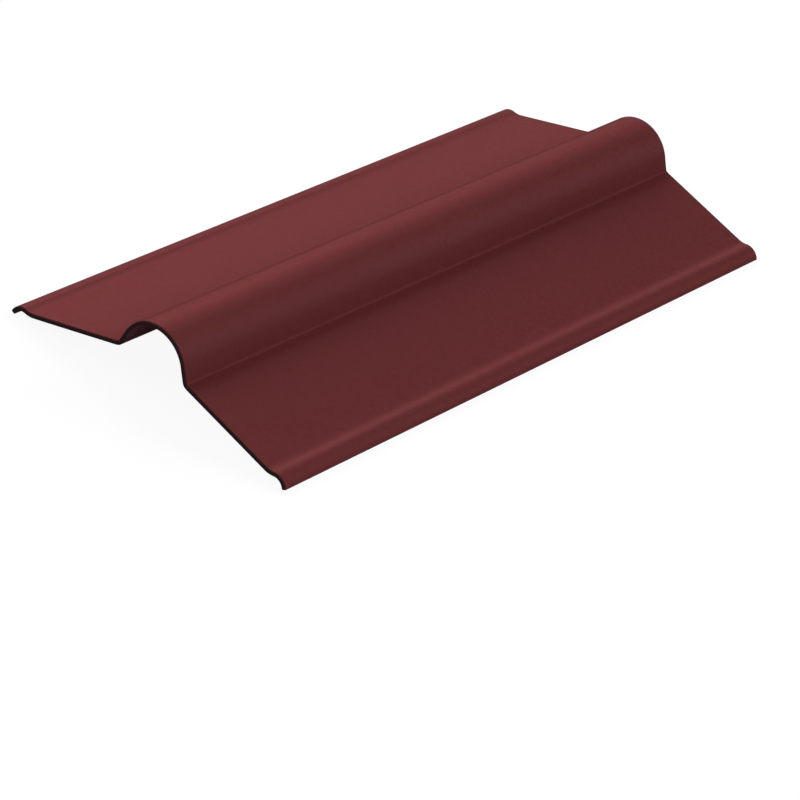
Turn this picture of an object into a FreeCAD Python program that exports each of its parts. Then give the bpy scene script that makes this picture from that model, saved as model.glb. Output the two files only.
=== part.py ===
"""Roof ridge cap of pressed bitumen fibre sheet, one moulded piece, in millimetres.

The cap is one sheet of even thickness, pressed into a section that runs unchanged along
its length. A round roll stands in the middle, a straight wing slopes down on each side,
and each wing ends in a raised bead that turns down to the cut edge. It stands on those
two edges, roll up: X runs across the ridge, Y along it, Z up, and the origin is the
middle of the footprint at floor level.
"""
import FreeCAD, Part
import math
import os

# Overall
cap_length = 1000.0
cover_width = 466.0
sheet_thickness = 6.0

# Roll: straight flanks carry its round top. A tight bend at the foot of each flank leaves a
# small turn to an easing bend, and the foot width is measured where that one meets the wing
roll_foot_width = 125.0
flank_slope = math.radians(67.6)
flank_length = 19.1
foot_bend_radius = 5.0
foot_ease_radius = 26.0
foot_ease_turn = math.radians(7.0)

# Wings, sloping down from the roll
wing_pitch = math.radians(15.15)

# Lips: a hollow bends each wing upwards, a bead bends it down to the cut edge
lip_hollow_radius = 28.0
lip_rise = math.radians(10.5)
lip_bead_radius = 20.0
lip_drop = math.radians(67.0)
lip_hem = 1.2
cut_edge_radius = 0.8

# What the sizes above settle
half_cover = cover_width / 2
half_foot = roll_foot_width / 2
flank_reach = flank_length * math.cos(flank_slope)
ease_slope = wing_pitch + foot_ease_turn
foot_reach = (
    foot_bend_radius * (math.sin(flank_slope) - math.sin(ease_slope))
    + foot_ease_radius * (math.sin(ease_slope) - math.sin(wing_pitch))
)
roll_radius = (half_foot - flank_reach - foot_reach) / math.sin(flank_slope)
lip_reach = (
    lip_hollow_radius * (math.sin(wing_pitch) + math.sin(lip_rise))
    + lip_bead_radius * (math.sin(lip_rise) + math.sin(lip_drop))
    + lip_hem * math.cos(lip_drop)
    + cut_edge_radius * (1 - math.sin(lip_drop))
)
wing_length = (half_cover - half_foot - lip_reach) / math.cos(wing_pitch)


def straight(length):
    """A straight stretch of the section."""
    return ("straight", length, 0.0)


def bend(radius, turn):
    """A round stretch: the heading turns up where turn is positive and down where it is negative."""
    return ("bend", radius, turn)


def upper_face():
    """The upper face, from the left cut edge over the roll to the right one."""
    left_side = [
        straight(lip_hem),
        bend(lip_bead_radius, -(lip_drop + lip_rise)),
        bend(lip_hollow_radius, lip_rise + wing_pitch),
        straight(wing_length),
        bend(foot_ease_radius, foot_ease_turn),
        bend(foot_bend_radius, flank_slope - ease_slope),
        straight(flank_length),
    ]
    roll = bend(roll_radius, -2 * flank_slope)
    return left_side + [roll] + left_side[::-1]


def lower_face(upper):
    """The face one sheet below, walked back: each bend keeps its centre and turns the other way."""
    lower = []
    for kind, size, turn in reversed(upper):
        if kind == "straight":
            lower.append(straight(size))
        else:
            lower.append(bend(size + math.copysign(sheet_thickness, turn), -turn))
    return lower


def cut_edge():
    """The square edge between the two faces, its corners slightly rounded."""
    corner = bend(cut_edge_radius, -math.pi / 2)
    return [corner, straight(sheet_thickness - 2 * cut_edge_radius), corner]


def turned(arm, angle):
    """The arm turned in the XZ plane, from X towards Z."""
    cosine = math.cos(angle)
    sine = math.sin(angle)
    return FreeCAD.Vector(arm.x * cosine - arm.z * sine, 0, arm.x * sine + arm.z * cosine)


def outline_edges(stretches, heading):
    """The stretches as tangent edges in the XZ plane, setting off at the given heading."""
    here = FreeCAD.Vector(0, 0, 0)
    edges = []
    for kind, size, turn in stretches:
        ahead = FreeCAD.Vector(math.cos(heading), 0, math.sin(heading))
        if kind == "straight":
            there = here + ahead * size
            edges.append(Part.LineSegment(here, there).toShape())
        else:
            to_centre = turned(ahead, math.copysign(math.pi / 2, turn)) * size
            centre = here + to_centre
            middle = centre - turned(to_centre, turn / 2)
            there = centre - turned(to_centre, turn)
            edges.append(Part.Arc(here, middle, there).toShape())
            heading += turn
        here = there
    return edges


def ridge_cap():
    """The closed section, run out along the ridge and set down on its two cut edges."""
    upper = upper_face()
    stretches = upper + cut_edge() + lower_face(upper) + cut_edge()
    section = Part.Face(Part.Wire(outline_edges(stretches, lip_drop)))
    cap = section.extrude(FreeCAD.Vector(0, cap_length, 0))
    box = cap.BoundBox
    cap.translate(FreeCAD.Vector(-box.Center.x, -box.Center.y, -box.ZMin))
    return cap


os.makedirs("parts", exist_ok=True)
cap = ridge_cap()
cap.exportStep("parts/ridge_cap.step")
box = cap.BoundBox
print("size", round(box.XLength, 3), round(box.YLength, 3), round(box.ZLength, 3))
print("volume in litres", round(cap.Volume / 1e6, 4), "valid", cap.isValid())
print("roll radius", round(roll_radius, 2), "wing length", round(wing_length, 2))
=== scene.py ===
"""Roof ridge cap: one sheet of pressed bitumen fibre with a maroon resin coat, in metres."""
import math

import bpy
from mathutils import Euler, Matrix, Vector


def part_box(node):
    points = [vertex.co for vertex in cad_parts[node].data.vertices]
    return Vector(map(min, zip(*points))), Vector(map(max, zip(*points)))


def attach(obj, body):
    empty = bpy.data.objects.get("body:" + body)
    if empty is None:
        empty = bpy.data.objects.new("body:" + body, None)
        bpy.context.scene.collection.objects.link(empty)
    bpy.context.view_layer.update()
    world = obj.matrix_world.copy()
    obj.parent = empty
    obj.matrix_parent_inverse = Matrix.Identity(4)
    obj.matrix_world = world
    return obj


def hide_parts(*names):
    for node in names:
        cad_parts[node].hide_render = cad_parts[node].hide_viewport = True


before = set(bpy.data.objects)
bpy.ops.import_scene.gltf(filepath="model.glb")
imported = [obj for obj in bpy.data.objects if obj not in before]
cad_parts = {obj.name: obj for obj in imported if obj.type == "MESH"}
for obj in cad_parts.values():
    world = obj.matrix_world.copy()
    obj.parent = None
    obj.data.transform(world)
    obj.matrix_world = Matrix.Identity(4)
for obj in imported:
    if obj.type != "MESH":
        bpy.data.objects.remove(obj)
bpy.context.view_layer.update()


# The section of the press mould.
# The sheet, a felt of fibres soaked in bitumen, is pressed warm over it: lip, wing, roll, wing
# and lip, run together with round bends. The sizes are those of the upper face.
cap_low, cap_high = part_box("ridge_cap")
clear_of_box = 0.00002
cap_length = cap_high.y - cap_low.y - 2 * clear_of_box
cover_width = cap_high.x - cap_low.x
sheet_thickness = 0.006
roll_foot_width = 0.125
flank_slope = math.radians(67.6)
flank_length = 0.0191
foot_bend_radius = 0.005
foot_ease_radius = 0.026
foot_ease_turn = math.radians(7.0)
wing_pitch = math.radians(15.15)
lip_hollow_radius = 0.028
lip_rise = math.radians(10.5)
lip_bead_radius = 0.020
lip_drop = math.radians(67.0)
lip_hem = 0.002
cut_corner_radius = 0.0008

# A rounded corner stands back from the sharp one by this much, seen along either axis
corner_setback = cut_corner_radius * (math.sin(lip_drop) + math.cos(lip_drop) - 1)
lip_reach = (
    lip_hollow_radius * (math.sin(wing_pitch) + math.sin(lip_rise))
    + lip_bead_radius * (math.sin(lip_rise) + math.sin(lip_drop))
    + lip_hem * math.cos(lip_drop)
    - corner_setback
)
wing_length = (cover_width - roll_foot_width) / 2 - lip_reach
wing_length /= math.cos(wing_pitch)
flank_reach = flank_length * math.cos(flank_slope)
ease_slope = wing_pitch + foot_ease_turn
foot_reach = (
    foot_bend_radius * (math.sin(flank_slope) - math.sin(ease_slope))
    + foot_ease_radius * (math.sin(ease_slope) - math.sin(wing_pitch))
)
roll_radius = (roll_foot_width / 2 - flank_reach - foot_reach) / math.sin(flank_slope)


def bend(radius, turn):
    """A round stretch of the section: its length, and how far it turns the face upwards."""
    return radius * abs(turn), turn


left_half = [
    (lip_hem, 0.0),
    bend(lip_bead_radius, -(lip_drop + lip_rise)),
    bend(lip_hollow_radius, lip_rise + wing_pitch),
    (wing_length, 0.0),
    bend(foot_ease_radius, foot_ease_turn),
    bend(foot_bend_radius, flank_slope - ease_slope),
    (flank_length, 0.0),
]
section_stretches = left_half + [bend(roll_radius, -2 * flank_slope)] + left_half[::-1]


def section_points(stretches, heading, longest_step, widest_turn):
    """The section as points across X and up Z, walked from its left cut edge."""
    here = Vector((0.0, 0.0, 0.0))
    points = [here]
    for length, turn in stretches:
        steps = max(1, math.ceil(length / longest_step), math.ceil(abs(turn) / widest_turn))
        half_turn = turn / steps / 2
        chord = length / steps
        if half_turn:
            chord *= math.sin(half_turn) / half_turn
        for _ in range(steps):
            heading += half_turn
            here = here + Vector((math.cos(heading), 0.0, math.sin(heading))) * chord
            heading += half_turn
            points.append(here)
    return points


section = section_points(
    section_stretches, lip_drop, longest_step=0.010, widest_turn=math.radians(3.0)
)
under_corner_drop = sheet_thickness * math.cos(lip_drop) - corner_setback
to_middle_and_floor = Vector((-section[-1].x / 2, 0.0, cap_low.z + under_corner_drop))
section = [point + to_middle_and_floor for point in section]


# The coat on the upper face.
# A maroon resin, sprayed on the warm sheet, cures to a satin skin. It sinks into the felt, so
# it is finely grained and slightly mottled. Painted light and shade are laid over its colour.
def new_material(name):
    """A material with its node tree, its Principled shader and the object's own coordinates."""
    material = bpy.data.materials.new(name)
    material.use_nodes = True
    tree = material.node_tree
    place = tree.nodes.new("ShaderNodeTexCoord").outputs["Object"]
    return material, tree, tree.nodes["Principled BSDF"], place


def feed(tree, slot, value):
    """Gives an input a plain value, or links it to the socket that its value comes from."""
    if isinstance(value, bpy.types.NodeSocket):
        tree.links.new(value, slot)
    else:
        slot.default_value = value


def add_node(tree, kind, settings=None, **inputs):
    """A node with its settings, and its inputs given as values or as sockets to link."""
    node = tree.nodes.new(kind)
    for name, value in (settings or {}).items():
        setattr(node, name, value)
    for name, value in inputs.items():
        feed(tree, node.inputs[name.replace("_", " ")], value)
    return node


def calculate(tree, operation, *values):
    """The result of one calculation on one or two values, given as numbers or as sockets."""
    node = add_node(tree, "ShaderNodeMath", {"operation": operation})
    for slot, value in zip(node.inputs, values):
        feed(tree, slot, value)
    return node.outputs[0]


def mix_numbers(tree, share, first, second):
    """The first number where the share is none, the second where it is one."""
    node = add_node(tree, "ShaderNodeMix", {"data_type": "FLOAT"}, Factor=share, A=first, B=second)
    return node.outputs["Result"]


def paint_over(tree, share, under_colour, over_colour):
    """The colour so far, with a plain one laid over it as far as the share says."""
    node = add_node(
        tree, "ShaderNodeMix", {"data_type": "RGBA"},
        Factor=share, A=under_colour, B=(*over_colour, 1.0),
    )
    return node.outputs["Result"]


def ramp_between(tree, value, low, high, dark, light):
    """Runs from the dark colour to the light one as the value goes from low to high."""
    ramp = add_node(tree, "ShaderNodeValToRGB", Fac=value)
    ramp.color_ramp.elements[0].position = low
    ramp.color_ramp.elements[0].color = (*dark, 1.0)
    ramp.color_ramp.elements[1].position = high
    ramp.color_ramp.elements[1].color = (*light, 1.0)
    return ramp.outputs["Color"]


def range_between(tree, value, low, high, start, end, smooth=False):
    """The value's range from low to high, stretched to run from start to end."""
    node = add_node(
        tree, "ShaderNodeMapRange", {"interpolation_type": "SMOOTHSTEP" if smooth else "LINEAR"},
        Value=value, From_Min=low, From_Max=high, To_Min=start, To_Max=end,
    )
    return node.outputs["Result"]


def both_sides_mask(tree, axis, middle, half_width, share):
    """The share at this far along the axis on either side, fading out over the half width."""
    offset = calculate(tree, "SUBTRACT", calculate(tree, "ABSOLUTE", axis), middle)
    gap = calculate(tree, "ABSOLUTE", offset)
    return range_between(tree, gap, 0.0, half_width, share, 0.0, smooth=True)


def new_group(name, kind, takes, gives):
    """A node group with the sockets it takes and gives, and its two end nodes."""
    group = bpy.data.node_groups.new(name, kind)
    for side, sockets in (("INPUT", takes), ("OUTPUT", gives)):
        for socket, value_kind in sockets.items():
            group.interface.new_socket(
                socket, in_out=side, socket_type="NodeSocket" + value_kind
            )
    return group, group.nodes.new("NodeGroupInput"), group.nodes.new("NodeGroupOutput")


def make_felt_group():
    """Pressed felt: fine fibre speckle, softer mottling, and the height of both together."""
    group, entry, out = new_group(
        "pressed_felt", "ShaderNodeTree",
        takes={"Place": "Vector", "Grain Size": "Float", "Mottle Size": "Float"},
        gives={"Speckle": "Float", "Mottle": "Float", "Height": "Float"},
    )
    mottle_in_height = 0.25
    grain = add_node(
        group, "ShaderNodeTexNoise", Vector=entry.outputs["Place"],
        Scale=calculate(group, "DIVIDE", 1.0, entry.outputs["Grain Size"]),
        Detail=3.0, Roughness=0.6,
    )
    mottle = add_node(
        group, "ShaderNodeTexNoise", Vector=entry.outputs["Place"],
        Scale=calculate(group, "DIVIDE", 1.0, entry.outputs["Mottle Size"]),
        Detail=4.0, Roughness=0.55,
    )
    height = mix_numbers(group, mottle_in_height, grain.outputs["Fac"], mottle.outputs["Fac"])
    group.links.new(grain.outputs["Fac"], out.inputs["Speckle"])
    group.links.new(mottle.outputs["Fac"], out.inputs["Mottle"])
    group.links.new(height, out.inputs["Height"])
    return group


felt_group = make_felt_group()


def felt_in(tree, place, grain_size, mottle_size):
    """The felt effect placed in a material at that material's own scale."""
    return add_node(
        tree, "ShaderNodeGroup", {"node_tree": felt_group},
        Place=place, Grain_Size=grain_size, Mottle_Size=mottle_size,
    ).outputs


def finish_shader(tree, shader, colour, roughness, height, relief, relief_depth):
    """Gives the shader its colour and roughness, and the height as a fine relief."""
    bump = add_node(
        tree, "ShaderNodeBump", Height=height, Strength=relief, Distance=relief_depth
    )
    tree.links.new(colour, shader.inputs["Base Color"])
    tree.links.new(roughness, shader.inputs["Roughness"])
    tree.links.new(bump.outputs["Normal"], shader.inputs["Normal"])


maroon_dark = (0.1235, 0.0284, 0.0296)
maroon_light = (0.1505, 0.0346, 0.0360)
# Painted light and shade: a lighter near end, a greyish sheen on the roll's shoulders, highlights
# on the lip crests, and shade in the foot creases, on left-leaning faces and beside the roll. The
# last colour also marks the coat broken at the sawn ends.
painted_near_end_light_maroon = (0.1713, 0.0394, 0.0409)
painted_sheen_maroon = (0.122, 0.0365, 0.0450)
painted_lip_crest_highlight_maroon = (0.170, 0.0480, 0.0510)
painted_foot_crease_shade_maroon = (0.0956, 0.0158, 0.0166)
painted_left_lean_shade_maroon = (0.078, 0.0100, 0.0109)
rim_and_painted_shade_maroon = (0.060, 0.0150, 0.0160)

coat_material, coat, coat_shader, coat_place = new_material("maroon_resin_coat")
coat_felt = felt_in(coat, coat_place, grain_size=0.0014, mottle_size=0.0070)
mottle_in_tone = 0.58
coat_tone = mix_numbers(coat, mottle_in_tone, coat_felt["Speckle"], coat_felt["Mottle"])
coat_colour = ramp_between(coat, coat_tone, 0.35, 0.65, maroon_dark, maroon_light)
place_axes = add_node(coat, "ShaderNodeSeparateXYZ", Vector=coat_place)
across = place_axes.outputs["X"]
along = place_axes.outputs["Y"]

# Painted light: the coat is painted lighter towards the near end, at -Y
painted_near_end_light_mask = range_between(coat, along, -cap_length / 2, cap_length / 2, start=0.35, end=0.0)

# Painted shade: the wing on the roll's left is painted darker beside the roll, where shade falls
left_of_ridge = calculate(coat, "MINIMUM", across, 0.0)
painted_shade_beside_roll_mask = both_sides_mask(coat, left_of_ridge, middle=0.075, half_width=0.065, share=0.13)

# Painted sheen: a greyish, patchy band is painted along both shoulders of the roll
painted_sheen_band = both_sides_mask(coat, across, middle=0.040, half_width=0.014, share=0.35)
painted_sheen_patches = range_between(coat, coat_felt["Mottle"], 0.35, 0.65, start=0.2, end=1.8)
painted_sheen_mask = calculate(coat, "MULTIPLY", painted_sheen_band, painted_sheen_patches)

# Painted highlight: the crests of both lips are painted a little lighter
lip_crest = cover_width / 2 - 0.0235
painted_lip_crest_highlight_mask = both_sides_mask(coat, across, middle=lip_crest, half_width=0.009, share=0.35)

# Painted shade: the crease at the roll's foot is painted darker, on both sides
foot_hollow = roll_foot_width / 2 + 0.002
painted_foot_crease_shade_mask = both_sides_mask(coat, across, middle=foot_hollow, half_width=0.016, share=0.35)

# Painted shade: faces that lean far to the left are painted darker, and they are also made dull
painted_left_lean_shade_share = 0.44
painted_left_lean_shade_from = math.radians(18.0)
painted_left_lean_shade_to = math.radians(38.0)
facing = coat.nodes.new("ShaderNodeTexCoord").outputs["Normal"]
leaning = add_node(coat, "ShaderNodeSeparateXYZ", Vector=facing).outputs["X"]
painted_left_lean_shade_mask = range_between(
    coat, leaning, -math.sin(painted_left_lean_shade_from), -math.sin(painted_left_lean_shade_to), 0.0, painted_left_lean_shade_share, smooth=True
)

# The saw breaks the coat along both ends
rim_mask = both_sides_mask(coat, along, middle=cap_length / 2, half_width=0.0022, share=1.0)

# The painted light and shade, and the broken rim at the ends, laid over the coat's own colour
coat_changes = [
    (painted_near_end_light_mask, painted_near_end_light_maroon),
    (painted_shade_beside_roll_mask, rim_and_painted_shade_maroon),
    (painted_sheen_mask, painted_sheen_maroon),
    (painted_lip_crest_highlight_mask, painted_lip_crest_highlight_maroon),
    (painted_foot_crease_shade_mask, painted_foot_crease_shade_maroon),
    (painted_left_lean_shade_mask, painted_left_lean_shade_maroon),
    (rim_mask, rim_and_painted_shade_maroon),
]
for mask, colour in coat_changes:
    coat_colour = paint_over(coat, mask, coat_colour, colour)

satin_lustre = 0.085
dull_roughness = 0.95
dull_mask = calculate(coat, "MAXIMUM", painted_left_lean_shade_mask, rim_mask)
satin_roughness = range_between(coat, coat_felt["Speckle"], 0.3, 0.7, start=0.35, end=0.42)
coat_roughness = mix_numbers(coat, dull_mask, satin_roughness, dull_roughness)
finish_shader(
    coat, coat_shader, coat_colour, coat_roughness, coat_felt["Height"],
    relief=0.45, relief_depth=0.0004,
)
lustre = range_between(coat, dull_mask, 0.0, painted_left_lean_shade_share, start=satin_lustre, end=0.0)
coat.links.new(lustre, coat_shader.inputs["Metallic"])
coat_shader.inputs["Specular IOR Level"].default_value = 0.002
coat_shader.inputs["Specular Tint"].default_value = (1.0, 0.45, 0.48, 1.0)


# The cut edge.
# The sawn felt shows near-black bitumen with brown fibre ends, dull and rough. The coat's
# resin has soaked a millimetre or two into it from above, as a dark maroon fringe.
bitumen = (0.0140, 0.0062, 0.0062)
fibre_end = (0.0400, 0.0205, 0.0200)
soaked_maroon = (0.0620, 0.0215, 0.0228)
soaked_depth = 0.42

edge_material, edge, edge_shader, edge_place = new_material("cut_bitumen_felt")
edge_felt = felt_in(edge, edge_place, grain_size=0.0006, mottle_size=0.0025)
edge_colour = ramp_between(edge, edge_felt["Speckle"], 0.45, 0.75, bitumen, fibre_end)
from_coat = add_node(edge, "ShaderNodeAttribute", {"attribute_name": "from_coat"})
soaked_mask = range_between(
    edge, from_coat.outputs["Fac"], 0.0, soaked_depth, start=1.0, end=0.0, smooth=True
)
edge_colour = paint_over(edge, soaked_mask, edge_colour, soaked_maroon)
edge_roughness = range_between(edge, edge_felt["Mottle"], 0.3, 0.7, start=0.70, end=0.90)
finish_shader(
    edge, edge_shader, edge_colour, edge_roughness, edge_felt["Height"],
    relief=0.9, relief_depth=0.0006,
)
edge_shader.inputs["Specular IOR Level"].default_value = 0.05


# The under face.
# It lies on the roof and gets no coat of its own: the bare felt shows, stained brown by the
# resin that has come through.
felt_brown = (0.112, 0.0410, 0.0440)
felt_stain = (0.178, 0.0640, 0.0690)

under_material, under, under_shader, under_place = new_material("stained_felt_underside")
under_felt = felt_in(under, under_place, grain_size=0.0014, mottle_size=0.0100)
under_colour = ramp_between(under, under_felt["Mottle"], 0.35, 0.65, felt_brown, felt_stain)
under_roughness = range_between(under, under_felt["Speckle"], 0.3, 0.7, start=0.82, end=0.96)
finish_shader(
    under, under_shader, under_colour, under_roughness, under_felt["Height"],
    relief=0.8, relief_depth=0.0006,
)
under_shader.inputs["Specular IOR Level"].default_value = 0.005


# The sheet run out along the ridge.
# The mould's section is drawn out to the cap's length. Pressing leaves the skin a few
# tenths of a millimetre uneven, fading to nothing where the lips grip the mould.
def make_press_tree():
    """Draws a section out along Y, sinks the skin unevenly and gives it its coat."""
    tree, entry, out = new_group(
        "press_along_ridge", "GeometryNodeTree",
        takes={
            "Geometry": "Geometry",
            "Cap Length": "Float",
            "Ring Count": "Int",
            "Uneven Depth": "Float",
            "Uneven Size": "Float",
            "Gripped From": "Float",
            "Gripped To": "Float",
            "Seed": "Int",
            "Coat": "Material",
        },
        gives={"Geometry": "Geometry"},
    )
    tree.is_modifier = True
    given = entry.outputs

    profile = add_node(tree, "GeometryNodeMeshToCurve", Mesh=given["Geometry"])
    near_y = calculate(tree, "MULTIPLY", given["Cap Length"], -0.5)
    far_y = calculate(tree, "MULTIPLY", given["Cap Length"], 0.5)
    near_end = add_node(tree, "ShaderNodeCombineXYZ", Y=near_y)
    far_end = add_node(tree, "ShaderNodeCombineXYZ", Y=far_y)
    ridge = add_node(
        tree, "GeometryNodeCurvePrimitiveLine", Start=near_end.outputs[0], End=far_end.outputs[0]
    )
    rings = add_node(
        tree, "GeometryNodeResampleCurve", Curve=ridge.outputs[0], Count=given["Ring Count"]
    )
    skin = add_node(
        tree, "GeometryNodeCurveToMesh", Curve=rings.outputs[0], Profile_Curve=profile.outputs[0]
    )

    position = tree.nodes.new("GeometryNodeInputPosition").outputs[0]
    uneven = add_node(
        tree, "ShaderNodeTexNoise", {"noise_dimensions": "4D"}, Vector=position,
        W=given["Seed"], Scale=calculate(tree, "DIVIDE", 1.0, given["Uneven Size"]), Detail=1.0,
    )
    depth = calculate(tree, "MULTIPLY", uneven.outputs["Fac"], given["Uneven Depth"])
    from_middle = add_node(tree, "ShaderNodeSeparateXYZ", Vector=position).outputs["X"]
    inwards = range_between(
        tree, calculate(tree, "ABSOLUTE", from_middle),
        given["Gripped From"], given["Gripped To"], start=-1.0, end=0.0, smooth=True,
    )
    normal = tree.nodes.new("GeometryNodeInputNormal").outputs["Normal"]
    offset = add_node(
        tree, "ShaderNodeVectorMath", {"operation": "SCALE"},
        Scale=calculate(tree, "MULTIPLY", depth, inwards),
    )
    tree.links.new(normal, offset.inputs[0])
    pressed = add_node(
        tree, "GeometryNodeSetPosition", Geometry=skin.outputs[0], Offset=offset.outputs[0]
    )
    smooth = add_node(tree, "GeometryNodeSetShadeSmooth", Geometry=pressed.outputs[0])
    whole = add_node(tree, "GeometryNodeRealizeInstances", Geometry=smooth.outputs[0])
    coated = add_node(
        tree, "GeometryNodeSetMaterial", Geometry=whole.outputs[0], Material=given["Coat"]
    )
    tree.links.new(coated.outputs[0], out.inputs[0])
    return tree


def plain_copy(source, name):
    """What the source's modifiers make of it, as a plain mesh object with none of them."""
    depsgraph = bpy.context.evaluated_depsgraph_get()
    mesh = bpy.data.meshes.new_from_object(source.evaluated_get(depsgraph), depsgraph=depsgraph)
    mesh.name = name
    copy = bpy.data.objects.new(name, mesh)
    bpy.context.scene.collection.objects.link(copy)
    bpy.data.objects.remove(source)
    return copy


section_mesh = bpy.data.meshes.new("mould_section")
section_edges = [(i, i + 1) for i in range(len(section) - 1)]
section_mesh.from_pydata([(point.x, -point.z, 0.0) for point in section], section_edges, [])
mould = bpy.data.objects.new("mould_section", section_mesh)
bpy.context.scene.collection.objects.link(mould)
press_tree = make_press_tree()
press = mould.modifiers.new("press", "NODES")
press.node_group = press_tree
press_settings = {
    "Cap Length": cap_length,
    "Ring Count": 101,
    "Uneven Depth": 0.00035,
    "Uneven Size": 0.120,
    "Gripped From": cover_width / 2 - 0.045,
    "Gripped To": cover_width / 2 - 0.015,
    "Seed": 7,
    "Coat": coat_material,
}
for item in press_tree.interface.items_tree:
    if item.in_out == "INPUT" and item.name in press_settings:
        press[item.identifier] = press_settings[item.name]
bpy.context.view_layer.update()
cap = plain_copy(mould, "ridge_cap_sheet")

# The skin gets its thickness towards the roof, and the sawn corners are slightly broken
edge_slot = 1
under_slot = 2
cap.data.materials.append(edge_material)
cap.data.materials.append(under_material)
wall = cap.modifiers.new("wall", "SOLIDIFY")
wall.thickness = sheet_thickness
wall.offset = -1.0
wall.use_even_offset = True
wall.material_offset_rim = edge_slot
wall.material_offset = under_slot
cap = plain_copy(cap, "ridge_cap_sheet")

# How deep in the sheet each point lies: none at the coat, one at the under face
upper_count = len(cap.data.vertices) // 2
from_coat_values = cap.data.attributes.new("from_coat", "FLOAT", "POINT")
from_coat_values.data.foreach_set("value", [0.0] * upper_count + [1.0] * upper_count)
corners = cap.modifiers.new("broken_corners", "BEVEL")
corners.limit_method = "ANGLE"
corners.angle_limit = math.radians(60.0)
corners.width = cut_corner_radius
corners.segments = 3
corners.harden_normals = True
cap = plain_copy(cap, "ridge_cap_sheet")
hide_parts("ridge_cap")
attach(cap, "root")


# The floor and the light.
# A white floor without an edge keeps the object's own soft shadow. The light comes low from
# the left and from behind, in wide patches.
def seen_rays(tree):
    """One for rays that show the background: from the camera, mirrored or through glass."""
    rays = tree.nodes.new("ShaderNodeLightPath").outputs
    first = calculate(tree, "MAXIMUM", rays["Is Camera Ray"], rays["Is Glossy Ray"])
    return calculate(tree, "MAXIMUM", first, rays["Is Transmission Ray"])


def grey(level):
    """An even grey, or white, of this level."""
    return level, level, level, 1.0


floor_reach = 12.0
floor_white = 0.80
shown_paint = 0.09
shown_glow = 0.93
floor_mesh = bpy.data.meshes.new("floor")
floor_corners = [(-1, -1), (1, -1), (1, 1), (-1, 1)]
floor_mesh.from_pydata(
    [(x * floor_reach, y * floor_reach, cap_low.z) for x, y in floor_corners], [], [(0, 1, 2, 3)]
)
floor = bpy.data.objects.new("floor", floor_mesh)
bpy.context.scene.collection.objects.link(floor)
floor_material = bpy.data.materials.new("white_floor")
floor_material.use_nodes = True
floor_tree = floor_material.node_tree
floor_tree.nodes.remove(floor_tree.nodes["Principled BSDF"])
matt = add_node(floor_tree, "ShaderNodeBsdfDiffuse", Color=grey(floor_white))
shown = add_node(floor_tree, "ShaderNodeBsdfDiffuse", Color=grey(shown_paint))
glow = add_node(floor_tree, "ShaderNodeEmission", Color=grey(1.0), Strength=shown_glow)
shown_white = add_node(floor_tree, "ShaderNodeAddShader")
floor_tree.links.new(shown.outputs[0], shown_white.inputs[0])
floor_tree.links.new(glow.outputs[0], shown_white.inputs[1])
floor_pick = add_node(floor_tree, "ShaderNodeMixShader", Fac=seen_rays(floor_tree))
floor_tree.links.new(matt.outputs[0], floor_pick.inputs[1])
floor_tree.links.new(shown_white.outputs[0], floor_pick.inputs[2])
floor_out = floor_tree.nodes["Material Output"]
floor_tree.links.new(floor_pick.outputs[0], floor_out.inputs["Surface"])
floor_mesh.materials.append(floor_material)

sky_level = 0.10
world = bpy.data.worlds.new("studio")
bpy.context.scene.world = world
world.use_nodes = True
sky = world.node_tree
sky.nodes["Background"].inputs["Color"].default_value = grey(1.0)
sky_strength = range_between(sky, seen_rays(sky), 0.0, 1.0, start=sky_level, end=1.0)
sky.links.new(sky_strength, sky.nodes["Background"].inputs["Strength"])


def soft_light(name, bearing, height, level):
    """A wide patch of light, placed by its bearing from +Y towards +X and its height angle.

    Both are in degrees. Its level is what a white face turned straight to it shows.
    """
    bearing = math.radians(bearing)
    height = math.radians(height)
    lamp = bpy.data.lights.new(name, "SUN")
    lamp.angle = math.radians(40.0)
    lamp.energy = level * math.pi
    towards = Vector((
        math.sin(bearing) * math.cos(height),
        math.cos(bearing) * math.cos(height),
        math.sin(height),
    ))
    holder = bpy.data.objects.new(name, lamp)
    holder.rotation_euler = towards.to_track_quat("Z", "Y").to_euler()
    bpy.context.scene.collection.objects.link(holder)


soft_light("left_front", bearing=-120.0, height=30.0, level=0.30)
soft_light("left_back", bearing=-60.0, height=30.0, level=0.49)
soft_light("far_left", bearing=-30.0, height=30.0, level=0.25)
soft_light("far_right", bearing=30.0, height=30.0, level=0.37)
soft_light("far_right_low", bearing=30.0, height=10.0, level=0.20)


# The camera.
# It stands well back with a long lens, above and to the right of the near end, and is
# tipped a little to one side, as the object's outline in the picture asks.
camera_place = Vector((2.3342, -3.5344, 2.4391))
camera_azimuth = math.radians(33.0192)
camera_elevation = math.radians(31.6747)
camera_tip = math.radians(13.3313)
camera_data = bpy.data.cameras.new("camera")
camera_data.sensor_width = 36.0
camera_data.lens = 166.653
camera_data.clip_end = 100.0
camera = bpy.data.objects.new("camera", camera_data)
looking = Euler((math.pi / 2 - camera_elevation, 0.0, camera_azimuth)).to_matrix()
tipped = looking @ Matrix.Rotation(camera_tip, 3, "Z")
camera.matrix_world = Matrix.Translation(camera_place) @ tipped.to_4x4()
bpy.context.scene.collection.objects.link(camera)
bpy.context.scene.camera = camera
bpy.context.scene.view_settings.view_transform = "Standard"
